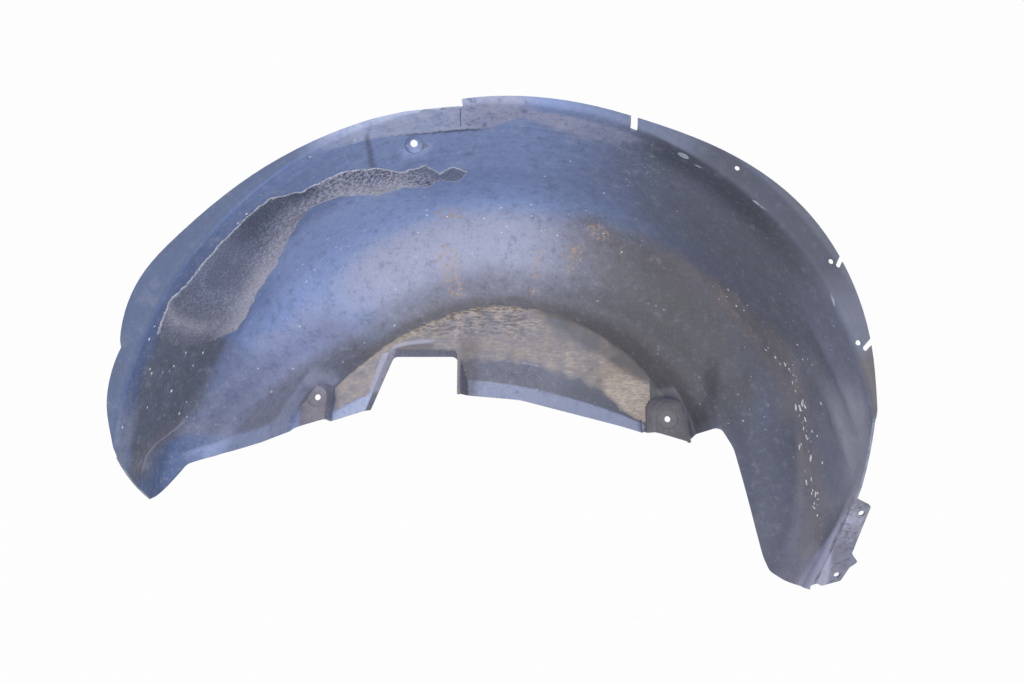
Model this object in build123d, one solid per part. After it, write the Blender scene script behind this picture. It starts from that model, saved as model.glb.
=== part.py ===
"""Wheel arch liner: one moulded plastic shell with a screw flange, a deep bowl and two screw pads."""
import os
from math import atan2, cos, hypot, pi, radians, sin, sqrt, tan

from build123d import *

# Arch frame while building: origin on the wheel axis in the rim plane,
# X to the right as seen from the wheel, Y inboard, Z up. All sizes are millimetres and degrees.

# Shell
WALL = 2.5
ARCH_R = 381.0
BARREL_TAPER = 9.5
RIM_CREASE_R = 8.0

# Bowl, given at the crown and at the two lower ends
CROWN_ANGLE = 90.0
LEFT_END_ANGLE = 192.0
RIGHT_END_ANGLE = -30.0
CROWN_DEPTH = 270.0
LEFT_DEPTH = 88.0
RIGHT_DEPTH = 168.0
CROWN_BAND = 104.0
LEFT_BAND = 40.0
RIGHT_BAND = 62.0
LEFT_EASE = 2.2
RIGHT_EASE = 1.2
STATIONS = 14

# Share of the band taken by the shoulder and by the roll into the land, at crown, left and right
SHOULDER_SHARE = (0.75, 0.40, 0.62)
ROLL_SHARE = (0.12, 0.48, 0.28)

# Recessed land at the middle of the flank
LAND_DEPTH = 298.0
LAND_FOOT_R = 10.0
LAND_WALL_RUN = 14.0
LAND_WALL_DRAFT = 0.1
LAND_INNER_R = 60.0

# Lower trough right of the damper notch: its upper edge on the land and its foot on the floor
TROUGH_DEPTH = 20.0
TROUGH_TOP = [(-58.0, 149.0), (68.0, 136.0), (194.0, 67.0)]
TROUGH_FOOT = [(-46.0, 112.5), (78.0, 92.5), (196.0, 56.5)]

# Damper notch
NOTCH_LEFT = -151.5
NOTCH_RIGHT = -61.0
NOTCH_TOP = 150.0
NOTCH_SLANT = 28.0
NOTCH_CORNER_R = 9.0
NOTCH_FLARE = 10.0
NOTCH_SIDE_FLARE = 3.0
NOTCH_RETURN = 16.0

# Screw pads
PAD_DEPTH = 250.0
PAD_EDGE_R = 8.0
LEFT_PAD_X = -242.5
LEFT_PAD_Z = 87.7
RIGHT_PAD_X = 220.7
RIGHT_PAD_Z = 58.7
PAD_HOLE_R = 4.0
DISH_R = 13.0
DISH_DEPTH = 3.0

# Rim flange screw holes, given by angle and radius
RIM_HOLE_R = 2.8
RIM_HOLE_A = (50.6, 397.0)
RIM_HOLE_B = (30.9, 401.0)
RIM_HOLE_C = (18.3, 386.0)

# Crown clip seat
SEAT_ANGLE = 105.0
SEAT_DEPTH = 61.0
SEAT_TILT = 30.0
SEAT_R = 11.0
SEAT_SINK = 16.0
SEAT_HOLE_R = 4.2

# Pressed beads of the right barrel: start and end (angle, depth), section radius and rise
BEADS = [
    ((27.0, 66.0), (1.0, 32.0), 24.0, 1.8),
    ((17.0, 96.0), (-4.0, 50.0), 24.0, 1.8),
    ((0.0, 38.0), (-30.0, 132.0), 26.0, 4.0),
]

# Turned lip along the lower left edge: angle at its two ends, where it starts on the land wall, section radius,
# rise at its right end and sink below the wall at its left end
LIP_START = 179.0
LIP_END = 170.0
LIP_FROM = 0.16
LIP_R = 12.0
LIP_RISE = 5.0
LIP_SINK = 4.0

# Marks in the rim edge, by angle. A slot also has the margin of its round end, a width and a lean from the radius
SLIT_ANGLE = 96.0
SLIT_WIDTH = 0.8
SLIT_DEPTH = 40.0
SLIT_LEAN = -24.0
SLIT_REACH = 36.0
TORN_ANGLE = 15.0
TORN_DEPTH = 9.0
TORN_GAP = 2.0
SLOTS = [(67.6, -0.3, 7.4, 21.0), (29.9, 24.2, 5.0, 34.0), (17.2, 9.5, 5.4, 30.0)]
SLOT_REACH = 60.0

# Right leg cut and its screw tab
LEG_CUT_Y = 17.0
LEG_CUT_Z = 20.0
LEG_CUT_SLOPE = 0.486
LEG_BOTTOM = -134.0
TAB_HOLE_R = 3.2
TAB_HOLE_A = (ARCH_R - 1.0, 79.2)
TAB_HOLE_B = (ARCH_R - 17.9, 153.1)
TOE_BITE = (ARCH_R - 38.0, -133.0)
TOE_BITE_R = 5.5

# Left tip
TIP_Z = -38.0

FAR = 480.0
OPEN_FRONT = 20.0
FLANGE_OUTER = ARCH_R + 44.0


def ease(angle):
    """Share of the way from the crown to the lower end, smooth at both."""
    if angle > CROWN_ANGLE:
        way = (angle - CROWN_ANGLE) / (LEFT_END_ANGLE - CROWN_ANGLE)
        power = LEFT_EASE
    else:
        way = (CROWN_ANGLE - angle) / (CROWN_ANGLE - RIGHT_END_ANGLE)
        power = RIGHT_EASE
    return (0.5 - 0.5 * cos(pi * way)) ** power


def blend(angle, crown, left, right):
    """A size that changes from the crown towards the left or the right end."""
    end = left if angle > CROWN_ANGLE else right
    return crown + (end - crown) * ease(angle)


def left_normal(start, end):
    """Unit normal on the left of the way from start to end."""
    run = end[0] - start[0]
    rise = end[1] - start[1]
    length = hypot(run, rise)
    return (-rise / length, run / length)


def parallel(points, grow, closed=False):
    """Corner points of the line that runs beside a chain, grow to its left."""
    count = len(points)
    sides = count if closed else count - 1
    normals = [left_normal(points[i], points[(i + 1) % count]) for i in range(sides)]
    moved = []
    for i in range(count):
        before = normals[(i - 1) % sides] if closed or i > 0 else normals[0]
        after = normals[i % sides] if closed or i < sides else normals[-1]
        total = (before[0] + after[0], before[1] + after[1])
        scale = 2.0 * grow / (total[0] ** 2 + total[1] ** 2)
        moved.append((points[i][0] + total[0] * scale, points[i][1] + total[1] * scale))
    return moved


def section(angle, grow):
    """Corners (depth, radius) and corner radii of the bowl section at one angle."""
    depth = blend(angle, CROWN_DEPTH, LEFT_DEPTH, RIGHT_DEPTH)
    band = blend(angle, CROWN_BAND, LEFT_BAND, RIGHT_BAND)
    corner_r = ARCH_R - depth * tan(radians(BARREL_TAPER))
    step_r = corner_r - band
    rise = LAND_DEPTH - depth
    run = LAND_WALL_RUN + LAND_WALL_DRAFT * rise
    corners = [
        (0.0, FLANGE_OUTER),
        (0.0, ARCH_R),
        (depth, corner_r),
        (depth, step_r),
        (LAND_DEPTH, step_r - run),
        (LAND_DEPTH, LAND_INNER_R),
    ]
    shoulder_length = blend(angle, *SHOULDER_SHARE) * band
    roll_length = blend(angle, *ROLL_SHARE) * band
    shoulder_r = shoulder_length / tan(radians(90.0 - BARREL_TAPER) / 2.0)
    roll_r = roll_length / tan(atan2(rise, run) / 2.0)
    radii = [RIM_CREASE_R - grow, shoulder_r + grow, roll_r - grow, LAND_FOOT_R + grow]
    return parallel(corners, grow), radii


def section_face(angle, grow, reach):
    """Closed section of the space inside the bowl, out to the open front."""
    corners, radii = section(angle, grow)
    turn = radians(angle)
    plane = Plane(origin=(0, 0, 0), x_dir=(0, 1, 0), z_dir=(sin(turn), 0, -cos(turn)))
    first = corners[0]
    last = corners[-1]
    inner = LAND_INNER_R - reach
    front = -OPEN_FRONT - reach
    outer = FLANGE_OUTER + reach
    skin = FilletPolyline(*corners, radius=radii)
    back = Polyline(last, (last[0], inner), (front, inner), (front, outer), (first[0], outer), first)
    return (plane * make_face(skin.edges() + back.edges())).face()


def bowl(grow, reach):
    """The space inside the bowl, grown outwards by grow."""
    step = (LEFT_END_ANGLE - RIGHT_END_ANGLE) / (STATIONS - 1)
    angles = [RIGHT_END_ANGLE + i * step for i in range(STATIONS)]
    return loft([section_face(angle, grow, reach) for angle in angles])


def at_depth(depth):
    """Plane facing the wheel at one depth, with its axes along X and Z."""
    return Plane(origin=(0, depth, 0), x_dir=(1, 0, 0), z_dir=(0, -1, 0))


def prism(face, near, far):
    """A flat outline carried inboard from near to far."""
    return extrude(at_depth(near) * face, amount=far - near, dir=(0, 1, 0))


def polar(angle, radius):
    """Point of the X Z plane at an angle and radius."""
    return (radius * cos(radians(angle)), radius * sin(radians(angle)))


def ring(points, radii):
    """Closed outline with rounded corners."""
    return make_face(FilletPolyline(*points, radius=radii, close=True).edges())


def tapered(front, back, radii, near, far, levels):
    """Body with flat sides between an outline at depth near and one at depth far, at (depth, inset) levels."""
    faces = []
    for depth, inset in levels:
        share = (depth - near) / (far - near)
        points = [mix(start, end, share) for start, end in zip(front, back)]
        rounds = [radius - inset for radius in radii]
        faces.append((at_depth(depth) * ring(parallel(points, inset, closed=True), rounds)).face())
    return loft(faces, ruled=True)


def pad(front, back, radii, shrink):
    """Screw pad raised from the land with a rounded edge, shrunk by the wall for its hollow."""
    top = PAD_DEPTH + shrink
    levels = [
        (top, PAD_EDGE_R + shrink),
        (top + 0.3 * PAD_EDGE_R, 0.3 * PAD_EDGE_R + shrink),
        (top + PAD_EDGE_R, shrink),
        (LAND_DEPTH + 12.0, shrink),
    ]
    return tapered(front, back, radii, PAD_DEPTH, LAND_DEPTH, levels)


def left_pad(shrink):
    """Tall pad left of the notch, with a slanted left side."""
    front = [
        (LEFT_PAD_X - 32.0, LEFT_PAD_Z - 70.0),
        (LEFT_PAD_X + 10.5, LEFT_PAD_Z - 70.0),
        (LEFT_PAD_X + 14.5, LEFT_PAD_Z + 17.0),
        (LEFT_PAD_X - 17.5, LEFT_PAD_Z + 17.0),
    ]
    back = [
        (LEFT_PAD_X - 88.0, LEFT_PAD_Z - 70.0),
        (LEFT_PAD_X + 7.5, LEFT_PAD_Z - 70.0),
        (LEFT_PAD_X + 13.5, LEFT_PAD_Z + 31.0),
        (LEFT_PAD_X - 34.5, LEFT_PAD_Z + 31.0),
    ]
    return pad(front, back, [12.0, 12.0, 16.0, 16.0], shrink)


def right_pad(shrink):
    """Round topped pad at the right."""
    front = [
        (RIGHT_PAD_X - 18.0, RIGHT_PAD_Z - 50.0),
        (RIGHT_PAD_X + 32.0, RIGHT_PAD_Z - 50.0),
        (RIGHT_PAD_X + 25.0, RIGHT_PAD_Z + 25.0),
        (RIGHT_PAD_X - 17.0, RIGHT_PAD_Z + 25.0),
    ]
    back = [
        (RIGHT_PAD_X - 22.0, RIGHT_PAD_Z - 50.0),
        (RIGHT_PAD_X + 38.0, RIGHT_PAD_Z - 50.0),
        (RIGHT_PAD_X + 32.0, RIGHT_PAD_Z + 34.0),
        (RIGHT_PAD_X - 20.0, RIGHT_PAD_Z + 34.0),
    ]
    return pad(front, back, [12.0, 12.0, 20.0, 20.0], shrink)


def mix(start, end, share):
    """Point on the way from start to end."""
    return (start[0] + (end[0] - start[0]) * share, start[1] + (end[1] - start[1]) * share)


def circle_through(points):
    """Centre and radius of the circle through three points."""
    (ax, az), (bx, bz), (cx, cz) = points
    turn = 2.0 * (ax * (bz - cz) + bx * (cz - az) + cx * (az - bz))
    a2 = ax * ax + az * az
    b2 = bx * bx + bz * bz
    c2 = cx * cx + cz * cz
    x = (a2 * (bz - cz) + b2 * (cz - az) + c2 * (az - bz)) / turn
    z = (a2 * (cx - bx) + b2 * (ax - cx) + c2 * (bx - ax)) / turn
    return x, z, hypot(ax - x, az - z)


def arched(points, grow):
    """Outline under an arc through three points, open far below, grown sideways and upwards."""
    x, z, radius = circle_through(points)
    low = -20.0
    spots = []
    for place in (points[0][0] - grow, points[1][0], points[2][0] + grow):
        spots.append((place, z + sqrt((radius + grow) ** 2 - (place - x) ** 2)))
    top = ThreePointArc(*spots)
    sides = Polyline(spots[2], (spots[2][0], low), (spots[0][0], low), spots[0])
    return make_face(top.edges() + sides.edges())


def trough(grow):
    """Lower trough: a slanted face under the land and a flat lip along the edge."""
    faces = []
    for depth in (LAND_DEPTH - 6.0, LAND_DEPTH + TROUGH_DEPTH + grow):
        share = (depth - LAND_DEPTH) / TROUGH_DEPTH
        points = [mix(top, foot, share) for top, foot in zip(TROUGH_TOP, TROUGH_FOOT)]
        faces.append((at_depth(depth) * arched(points, grow)).face())
    return loft(faces, ruled=True)


def notch_outline(side_flare, top_flare, bottom):
    """Damper notch outline, widened at its left side and its top."""
    left = NOTCH_LEFT - side_flare
    top = NOTCH_TOP + top_flare
    return [
        (left - NOTCH_SLANT * (top - bottom) / 72.0, bottom),
        (NOTCH_RIGHT, bottom),
        (NOTCH_RIGHT, top),
        (left, top),
    ]


def notch_flare(grow):
    """Edge of the notch turned inboard on a slant."""
    front = parallel(notch_outline(NOTCH_SIDE_FLARE, NOTCH_FLARE, 60.0), -grow, closed=True)
    back = parallel(notch_outline(0.0, 0.0, 60.0), -grow, closed=True)
    radii = [2.0, 2.0, NOTCH_CORNER_R, NOTCH_CORNER_R]
    floor = LAND_DEPTH + NOTCH_RETURN
    return tapered(front, back, radii, LAND_DEPTH, floor, [(LAND_DEPTH - 6.0, 0.0), (floor, 0.0)])


def seat_axis():
    """Direction of the crown clip, inboard and outwards."""
    out = sin(radians(SEAT_TILT))
    across = polar(SEAT_ANGLE, out)
    return Vector(across[0], cos(radians(SEAT_TILT)), across[1])


def seat_point(distance):
    """Point on the crown clip line, from where it meets the barrel."""
    across = polar(SEAT_ANGLE, ARCH_R - SEAT_DEPTH * tan(radians(BARREL_TAPER)))
    return Vector(across[0], SEAT_DEPTH, across[1]) + seat_axis() * distance


def rod(start, end, radius):
    """Round bar between two points."""
    way = Vector(*end) - Vector(*start)
    plane = Plane(origin=tuple(start), z_dir=tuple(way))
    return extrude(plane * Circle(radius), amount=way.length)


def seat(grow):
    """Round dimple of the crown clip."""
    return rod(seat_point(-SEAT_SINK), seat_point(SEAT_SINK + grow), SEAT_R + grow)


def pad_centres():
    """Screw centres of the two pads."""
    return [(LEFT_PAD_X, LEFT_PAD_Z), (RIGHT_PAD_X, RIGHT_PAD_Z)]


def dish(centre, grow):
    """Round dish in the face of a pad."""
    x, z = centre
    return rod((x, PAD_DEPTH - 2.0, z), (x, PAD_DEPTH + DISH_DEPTH + grow, z), DISH_R + grow)


def barrel_r(depth):
    """Inside radius of the barrel at one depth."""
    return ARCH_R - depth * tan(radians(BARREL_TAPER))


def pipe(points, radius):
    """Round bar along a smooth line through the points."""
    path = Spline(*points)
    return sweep(Plane(origin=path @ 0, z_dir=path % 0) * Circle(radius), path=path)


def bead(start, end, radius, rise, shrink):
    """Long bead pressed into the barrel, fading out at both ends."""
    points = []
    for i in range(7):
        share = i / 6.0
        angle, depth = mix(start, end, share)
        proud = (rise + 1.0) * sin(pi * share) - 1.0
        x, z = polar(angle, barrel_r(depth) + radius - proud)
        points.append((x, depth, z))
    return pipe(points, radius - shrink)


def lip(shrink):
    """Lip turned in along the lower left edge, rising from the barrel towards the left pad."""
    points = []
    for i in range(5):
        share = i / 4.0
        angle = LIP_START + (LIP_END - LIP_START) * share
        corners = section(angle, 0.0)[0]
        depth, radius = mix(corners[3], corners[4], LIP_FROM + (1.0 - LIP_FROM) * share)
        normal = left_normal(corners[3], corners[4])
        proud = (LIP_RISE + LIP_SINK) * sin(pi / 2.0 * share) - LIP_SINK
        out = LIP_R - proud
        x, z = polar(angle, radius + normal[1] * out)
        points.append((x, depth + normal[0] * out, z))
    return pipe(points, LIP_R - shrink)


def skin():
    """The moulded wall before its edges and holes are cut."""
    walls = []
    for grow, reach in ((0.0, 6.0), (WALL, 1.0)):
        space = bowl(grow, reach)
        hollows = [left_pad(grow), right_pad(grow), lip(grow)] + [bead(*sizes, grow) for sizes in BEADS]
        for hollow in hollows:
            space = space - hollow
        rooms = [trough(grow), notch_flare(grow), seat(grow)]
        rooms += [dish(centre, grow) for centre in pad_centres()]
        for room in rooms:
            space = space + room
        walls.append(space)
    return walls[1] - walls[0], walls[0]


def rim_waste():
    """Everything outside the edge of the rim flange."""
    right = [
        (SLIT_ANGLE, 4.8), (86.0, 7.2), (74.0, 9.2), (66.0, 12.0), (55.0, 22.0), (40.0, 32.7),
        (26.0, 26.5), (16.0, 14.3), (8.0, 3.5), (0.0, 4.0),
    ]
    left = [
        (SLIT_ANGLE, 3.5), (106.0, 3.5), (118.0, 7.0), (130.0, 13.0), (145.0, 24.2), (152.5, 31.0),
        (159.0, 26.5), (162.0, 20.5),
    ]
    tail = [(163.0, 16.5), (168.0, 17.0), (172.0, 12.5), (176.0, 3.5), (182.0, 3.5)]
    lines = []
    for chain in (right, left, tail):
        lines.append(Spline(*[polar(angle, ARCH_R + margin) for angle, margin in chain]))
    ends = [(lines[0] @ 0, lines[1] @ 0), (lines[1] @ 1, lines[2] @ 0)]
    joins = [Line(a, b) for a, b in ends]
    bottom = Polyline(lines[2] @ 1, (-FAR, -FAR / 2), (-FAR, FAR), (FAR, FAR), (FAR, -FAR / 2), lines[0] @ 1)
    edges = []
    for line in lines + joins + [bottom]:
        edges += line.edges()
    return prism(make_face(edges), -OPEN_FRONT - 20.0, 12.0)


def lower_waste():
    """Everything below the lower edge of the flank, with the damper notch."""
    start = (-FAR, -FAR / 2)
    notch_foot = (-182.5, 75.0)
    notch_end = (NOTCH_RIGHT, 97.0)
    left = FilletPolyline(
        start, (-FAR, -90.0), (-404.0, -90.0), (-348.0, 0.0), (-318.0, 10.0), (-276.0, 46.0),
        (-228.0, 60.5), notch_foot, radius=[0.0, 0.0, 12.0, 40.0, 20.0, 30.0],
    )
    notch = FilletPolyline(
        notch_foot, (NOTCH_LEFT, NOTCH_TOP), (NOTCH_RIGHT, NOTCH_TOP), notch_end,
        radius=[NOTCH_CORNER_R, NOTCH_CORNER_R],
    )
    right = FilletPolyline(
        notch_end, (26.0, 89.5), (165.0, 53.5), (252.0, 27.5), (258.0, 39.0), (276.0, 47.0), (289.5, 19.0),
        (312.0, -108.0), (317.0, -124.0), (331.0, LEG_BOTTOM), (FAR, LEG_BOTTOM),
        radius=[80.0, 60.0, 2.5, 3.0, 9.0, 50.0, 30.0, 12.0, 15.0],
    )
    close = Polyline((FAR, LEG_BOTTOM), (FAR, -FAR / 2), (-FAR, -FAR / 2))
    edges = []
    for line in (left, notch, right, close):
        edges += line.edges()
    return prism(make_face(edges), -OPEN_FRONT - 20.0, LAND_DEPTH + 60.0)


def beside(face, start, end):
    """An outline of the Y Z plane carried along X from start to end."""
    plane = Plane(origin=(start, 0, 0), x_dir=(0, 1, 0), z_dir=(1, 0, 0))
    return extrude(plane * face, amount=end - start)


def left_end_waste():
    """Curved cut of the left end, seen from the side."""
    high = (-40.0, 80.0)
    bend = (1.0, 18.0)
    foot = (69.0, TIP_Z)
    low = -FAR / 2
    upper = Line(high, bend)
    curve = ThreePointArc(bend, (36.0, -16.5), foot)
    rest = Polyline(foot, (400.0, TIP_Z), (400.0, low), (high[0], low), high)
    return beside(make_face(upper.edges() + curve.edges() + rest.edges()), -FAR, -250.0)


def leg_cut_depth(height):
    """Depth of the slanted cut of the right leg at one height."""
    return LEG_CUT_Y + LEG_CUT_SLOPE * (LEG_CUT_Z - height)


def right_end_waste():
    """Slanted cut of the right leg, seen from the side."""
    high = 150.0
    low = -FAR / 2
    points = [(leg_cut_depth(high), high), (leg_cut_depth(low), low), (leg_cut_depth(high), low)]
    return beside(make_face(Polyline(*points, close=True).edges()), 200.0, FAR)


def tab_plane():
    """Plane of the slanted leg cut: X to the right, its Y down the cut, facing inboard."""
    down = Vector(0, LEG_CUT_SLOPE, -1).normalized()
    return Plane(origin=(0, LEG_CUT_Y, LEG_CUT_Z), x_dir=(1, 0, 0), z_dir=tuple(Vector(1, 0, 0).cross(down)))


def tab():
    """Screw tab in the plane of the leg cut, placed across from the arch radius and down the cut."""
    places = [
        (-36.0, 60.0), (-12.0, 60.0), (8.0, 70.5), (4.0, 87.0), (-5.0, 127.0), (2.5, 137.0),
        (-5.5, 144.0), (-13.0, 160.0), (-31.0, 166.0), (-51.0, 166.0),
    ]
    outline = [(ARCH_R + across, down) for across, down in places]
    rounds = [0.0, 4.0, 3.0, 6.0, 5.0, 2.5, 3.0, 4.0, 3.0, 0.0]
    return extrude(tab_plane() * ring(outline, rounds), amount=WALL)


def tab_point(place):
    """Point of the tab given by its X and its way down the cut."""
    return tab_plane().from_local_coords(Vector(place[0], place[1], 0))


def rim_slot(angle, margin, width, lean):
    """Slot across the rim edge, with a round end and leaning from the radius."""
    across, up = polar(angle, ARCH_R + margin)
    outline = Circle(width / 2.0) + Pos(SLOT_REACH / 2.0, 0) * Rectangle(SLOT_REACH, width)
    return prism(Pos(across, up) * (Rot(0, 0, angle + lean) * outline), -6.0, 8.0)


def slit():
    """Thin slit in the crown, leaning so that its two sides lap."""
    across, up = polar(SLIT_ANGLE, ARCH_R)
    outline = Rectangle(SLIT_REACH, SLIT_WIDTH)
    return prism(Pos(across, up) * (Rot(0, 0, SLIT_ANGLE + SLIT_LEAN) * outline), -6.0, SLIT_DEPTH)


def rim_marks():
    """Torn stretch, slit and slots in the rim edge."""
    middle = SLIT_ANGLE + TORN_ANGLE / 2.0
    half = ARCH_R * tan(radians(TORN_ANGLE / 2.0))
    across = polar(middle, 1.0)
    centre = polar(middle, ARCH_R - 20.0)
    plane = Plane(
        origin=(centre[0], 0, centre[1]), x_dir=(-across[1], 0, across[0]), z_dir=(across[0], 0, across[1])
    )
    start = -half - TORN_GAP
    wedge = Polyline((start, 6.0), (start, -TORN_DEPTH), (half, 0.0), (half, 6.0), close=True)
    torn = extrude(plane * make_face(wedge.edges()), amount=60.0)
    return [torn, slit()] + [rim_slot(*sizes) for sizes in SLOTS]


def toe_bite():
    """Small round bite where the leg and its tab meet at the bottom."""
    x, z = TOE_BITE
    return rod((x, 60.0, z), (x, 130.0, z), TOE_BITE_R)


def holes():
    """All the screw holes."""
    cuts = []
    for x, z in pad_centres():
        cuts.append(rod((x, PAD_DEPTH - 10.0, z), (x, PAD_DEPTH + 14.0, z), PAD_HOLE_R))
    for angle, radius in (RIM_HOLE_A, RIM_HOLE_B, RIM_HOLE_C):
        x, z = polar(angle, radius)
        cuts.append(rod((x, -10.0, z), (x, 14.0, z), RIM_HOLE_R))
    normal = tab_plane().z_dir
    for place in (TAB_HOLE_A, TAB_HOLE_B):
        centre = tab_point(place)
        cuts.append(rod(centre - normal * 10.0, centre + normal * 10.0, TAB_HOLE_R))
    cuts.append(rod(seat_point(SEAT_SINK - 6.0), seat_point(SEAT_SINK + 12.0), SEAT_HOLE_R))
    return cuts


liner, air = skin()
for waste in [rim_waste(), lower_waste(), left_end_waste(), right_end_waste()] + rim_marks():
    liner = liner - waste
liner = liner + (tab() - air)
for cut in holes() + [toe_bite()]:
    liner = liner - cut

mid_x = (LEFT_PAD_X + RIGHT_PAD_X) / 2.0
mid_z = (LEFT_PAD_Z + RIGHT_PAD_Z) / 2.0
liner = liner.moved(Location((-mid_x, -PAD_DEPTH - DISH_DEPTH, -mid_z)))

os.makedirs("parts", exist_ok=True)
export_step(liner, "parts/arch_liner.step")
print("solids", len(liner.solids()), "valid", liner.is_valid, "volume", round(liner.volume))
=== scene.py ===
# %% [markdown]
# # A used wheel arch liner
# The liner is one thin moulded shell that hangs over a car's tyre. Its shape comes from the CAD frame.
# This lesson gives it a camera, light, a weathered plastic finish, and the dirt that years of use leave.

# %% Load the frame
import math
import random

import bmesh
import bpy
from mathutils import Matrix, Vector, noise
from mathutils.bvhtree import BVHTree


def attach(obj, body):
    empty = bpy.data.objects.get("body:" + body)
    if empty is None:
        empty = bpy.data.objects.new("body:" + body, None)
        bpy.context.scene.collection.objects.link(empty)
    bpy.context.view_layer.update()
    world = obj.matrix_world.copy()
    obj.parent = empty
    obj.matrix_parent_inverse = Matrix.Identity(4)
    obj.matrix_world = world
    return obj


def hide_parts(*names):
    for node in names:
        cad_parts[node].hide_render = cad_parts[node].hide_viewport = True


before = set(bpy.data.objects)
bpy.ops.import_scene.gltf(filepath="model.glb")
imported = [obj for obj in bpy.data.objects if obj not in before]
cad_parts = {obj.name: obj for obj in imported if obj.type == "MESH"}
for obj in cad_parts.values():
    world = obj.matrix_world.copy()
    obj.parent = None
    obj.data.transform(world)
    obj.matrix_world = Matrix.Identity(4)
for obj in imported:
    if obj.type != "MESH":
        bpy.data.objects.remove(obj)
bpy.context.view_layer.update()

# %% [markdown]
# The liner is described best around the wheel: by the way round from the crown, the depth inboard and
# the radius. So the wheel axis is named once, and everything is placed from it, in millimetres.

# %% The wheel axis in the part's frame
AXIS_X = 0.0109
RIM_Y = -0.253
AXIS_Z = -0.0732
ARCH_R = 381.0
BARREL_SLOPE = math.tan(math.radians(9.5))
LAND_DEPTH = 298.0
MM = 1000.0


def from_arch(x, y, z):
    """Point of the part's frame in metres, from millimetres around the wheel axis."""
    return Vector((AXIS_X + x / MM, RIM_Y + y / MM, AXIS_Z + z / MM))


def on_barrel(way, depth):
    """Point on the inside of the barrel, way degrees right of the crown."""
    turn = math.radians(way)
    radius = ARCH_R - depth * BARREL_SLOPE
    return from_arch(radius * math.sin(turn), depth, radius * math.cos(turn))


print("crown of the barrel", on_barrel(0.0, 60.0))

# %% [markdown]
# The photograph looks into the bowl from below the middle of the arch, with the lens tipped up a little.
# A camera that only pitches keeps the upright edges of the notch upright, as they are in the photograph.

# %% Camera
PITCH_UP = 9.0
camera_data = bpy.data.cameras.new("photo_camera")
camera_data.sensor_fit = "HORIZONTAL"
camera_data.sensor_width = 36.0
camera_data.lens = 27.42
camera_data.clip_start = 0.01
camera = bpy.data.objects.new("photo_camera", camera_data)
camera.location = (0.0262, -1.033, -0.0750)
camera.rotation_euler = (math.radians(90.0 + PITCH_UP), 0.0, 0.0)
scene = bpy.context.scene
scene.collection.objects.link(camera)
scene.camera = camera
scene.view_settings.view_transform = "Standard"
print("camera at", tuple(camera.location))

# %% [markdown]
# Node trees are easier to read as sums than as boxes and wires. One small class wraps a socket,
# so that a line such as 1 - mask adds the Math node by itself. Every other node comes from one method, add.

# %% A socket that works in sums
class Value:
    """A socket of a node tree that can be added, multiplied and so on."""

    def __init__(self, tree, socket):
        self.tree = tree
        self.socket = socket

    def add(self, kind, settings, inputs, output=0):
        """New node of a kind, with its settings, and values or links for its sockets."""
        return new_node(self.tree, kind, settings, inputs, output)

    def math(self, operation, first, second=0.0):
        return self.add("ShaderNodeMath", {"operation": operation}, {0: first, 1: second})

    def __add__(self, other):
        return self.math("ADD", self, other)

    def __sub__(self, other):
        return self.math("SUBTRACT", self, other)

    def __mul__(self, other):
        return self.math("MULTIPLY", self, other)

    def __truediv__(self, other):
        return self.math("DIVIDE", self, other)

    def __rsub__(self, other):
        return self.math("SUBTRACT", other, self)

    def __pow__(self, other):
        return self.math("POWER", self, other)

    __radd__ = __add__
    __rmul__ = __mul__

    def size(self):
        return self.math("ABSOLUTE", self)

    def rise(self, low, high):
        """0 below low and 1 above high, with a soft step between. It falls if high is the lower one."""
        settings = {"interpolation_type": "SMOOTHSTEP", "clamp": True}
        if low < high:
            return self.add("ShaderNodeMapRange", settings, {0: self, 1: low, 2: high, 3: 0.0, 4: 1.0})
        return self.add("ShaderNodeMapRange", settings, {0: self, 1: high, 2: low, 3: 1.0, 4: 0.0})

    def curve(self, points):
        """A height that follows a few (place, height) points."""
        low = points[0][0]
        span = points[-1][0] - low
        top = max(height for place, height in points)
        stops = [((place - low) / span, (height / top,) * 3) for place, height in points]
        settings = {"stops": stops, "interpolation": "B_SPLINE"}
        return self.add("ShaderNodeValToRGB", settings, {0: (self - low) / span}) * top

    def grain(self, scale, detail=3.0, rough=0.6):
        """Soft noise from 0 to 1, read at this place."""
        inputs = {"Vector": self, "Scale": scale, "Detail": detail, "Roughness": rough}
        return self.add("ShaderNodeTexNoise", {}, inputs)

    def layer(self, name):
        """Number that the mesh keeps at its points under a name."""
        return self.add("ShaderNodeAttribute", {"attribute_name": name}, {}, "Fac")

    def bump(self, strength, distance):
        """Normal of a surface with this height on it."""
        return self.add("ShaderNodeBump", {}, {"Strength": strength, "Distance": distance, "Height": self})

    def feed(self, shader, name):
        """Links this to a socket of a shader."""
        self.tree.links.new(self.socket, shader.inputs[name])


print("sums of sockets ready")

# %% [markdown]
# One function makes every node from its kind, its settings, and a value or link for each socket.

# %% New nodes
def new_node(tree, kind, settings, inputs, output=0):
    """New node in a tree; settings first, then each socket's value or link."""
    node = tree.nodes.new(kind)
    for name, setting in settings.items():
        if name == "stops":
            ramp = node.color_ramp
            while len(ramp.elements) < len(setting):
                ramp.elements.new(1.0)
            for element, (place, colour) in zip(ramp.elements, setting):
                element.position = place
                element.color = (*colour, 1.0)
        elif name == "interpolation" and kind == "ShaderNodeValToRGB":
            node.color_ramp.interpolation = setting
        else:
            setattr(node, name, setting)
    for place, value in inputs.items():
        socket = node.inputs[place]
        if isinstance(value, Value):
            tree.links.new(value.socket, socket)
        else:
            socket.default_value = value
    return Value(tree, node.outputs[output])


print("nodes can be made")

# %% [markdown]
# The other helpers make a colour, a mix of two colours and a new finish.
# Each finish starts from the place on the piece, in Object coordinates, so its marks stay put.

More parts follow.
